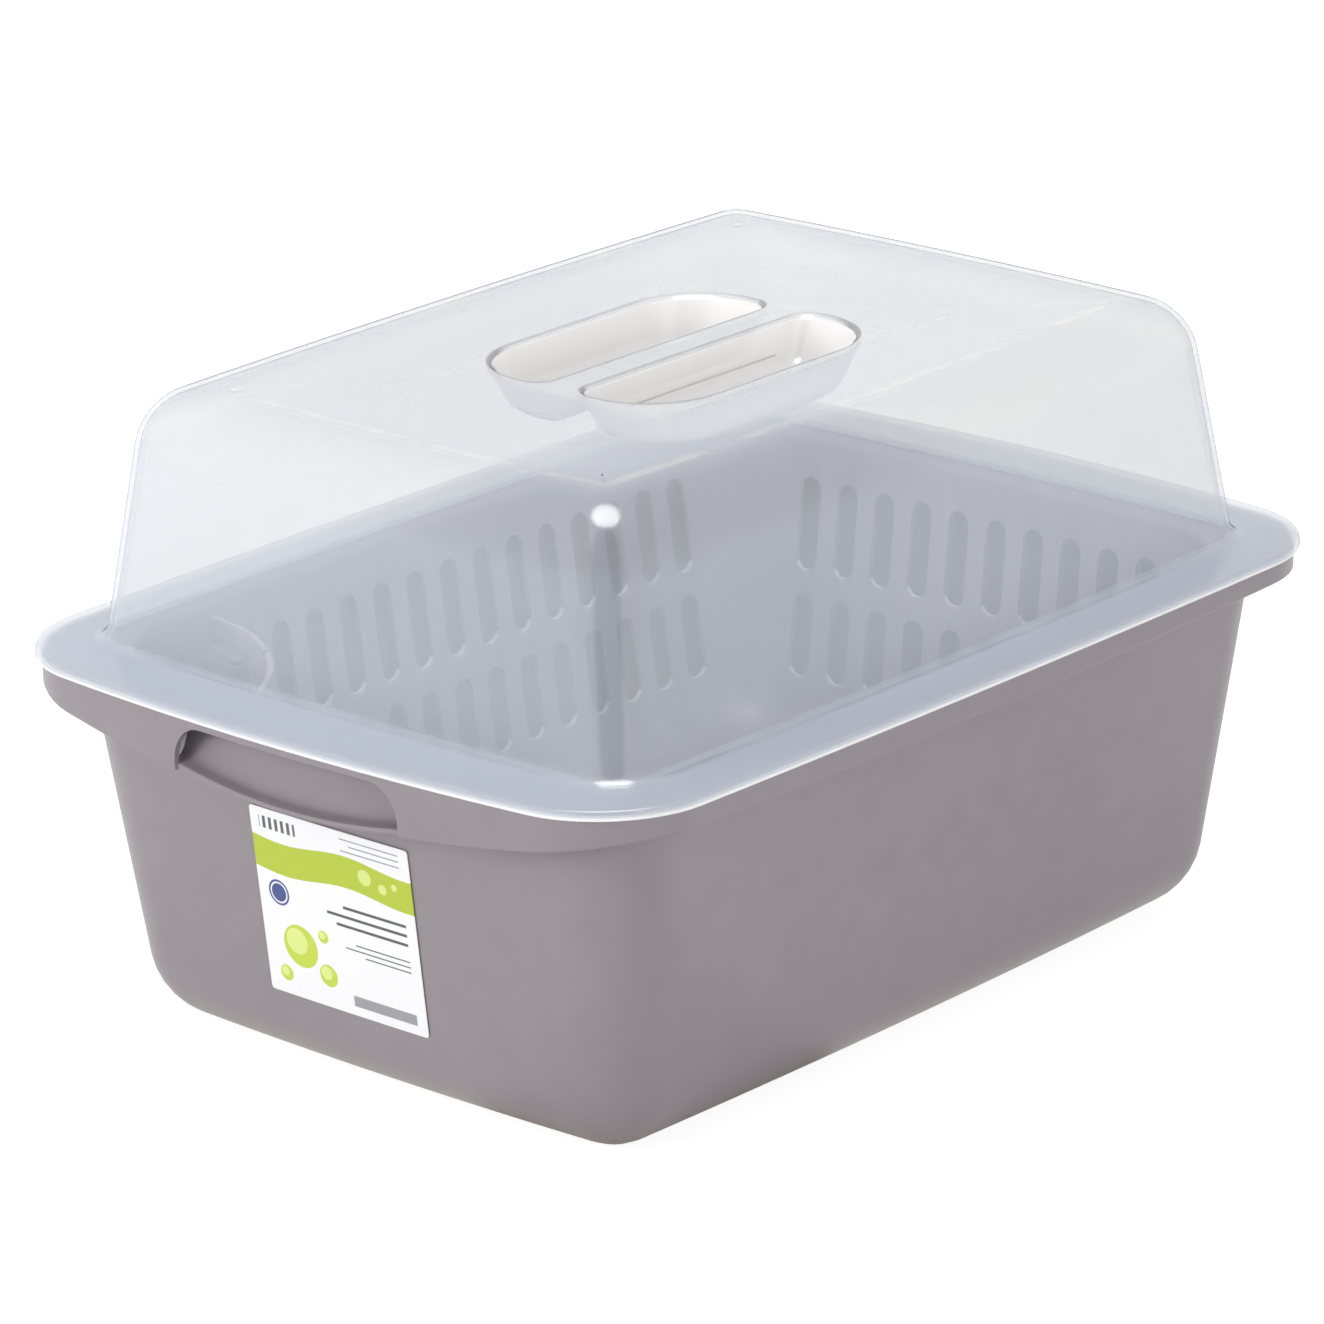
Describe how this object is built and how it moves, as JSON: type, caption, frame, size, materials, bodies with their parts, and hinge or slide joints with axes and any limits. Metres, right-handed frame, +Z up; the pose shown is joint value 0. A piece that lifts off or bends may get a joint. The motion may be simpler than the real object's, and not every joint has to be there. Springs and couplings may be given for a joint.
{
  "type": "covered dish drainer",
  "caption": "Dish drainer: a wash tub with a slotted lift-out basket, a fold-away cutlery stand in its corner and a clear lift-off hood with finger pockets.",
  "frame": {"origin": "middle of the footprint, on the plane the tub stands on", "axes": "+Z up, +Y along the long sides, and the labelled short end faces -Y"},
  "size_m": [0.295, 0.405, 0.23],
  "materials": {
    "tub": "satin taupe-grey polypropylene",
    "drain_basket": "satin blue-grey polypropylene",
    "stand_leaves": "satin blue-grey polypropylene",
    "stand_pins": "satin blue-grey polypropylene",
    "hood": "milky see-through polypropylene, glossy",
    "paper_label": "coated white label paper"
  },
  "bodies": {
    "tub": {"tub": "tub", "paper_label": "paper_label"},
    "basket": {"drain_basket": "drain_basket", "stand_wall_pin": "stand_pins", "stand_end_pin": "stand_pins"},
    "wall_leaf": {"stand_wall_leaf": "stand_leaves"},
    "end_leaf": {"stand_end_leaf": "stand_leaves"},
    "hood": {"hood": "hood"}
  },
  "joints": [
    {"name": "basket_lift", "type": "slide", "parent": "tub", "child": "basket", "axis": [0, 0, 1], "range_m": [0, 0.13]},
    {"name": "hood_lift", "type": "slide", "parent": "basket", "child": "hood", "axis": [0, 0, 1], "range_m": [0, 0.12]},
    {"name": "wall_leaf_swing", "type": "hinge", "parent": "basket", "child": "wall_leaf", "pos_m": [-0.1049, -0.11544, 0], "axis": [0, 0, 1], "range_deg": [0, 115]},
    {"name": "end_leaf_swing", "type": "hinge", "parent": "basket", "child": "end_leaf", "pos_m": [-0.05479, -0.1514, 0], "axis": [0, 0, -1], "range_deg": [0, 130]}
  ]
}
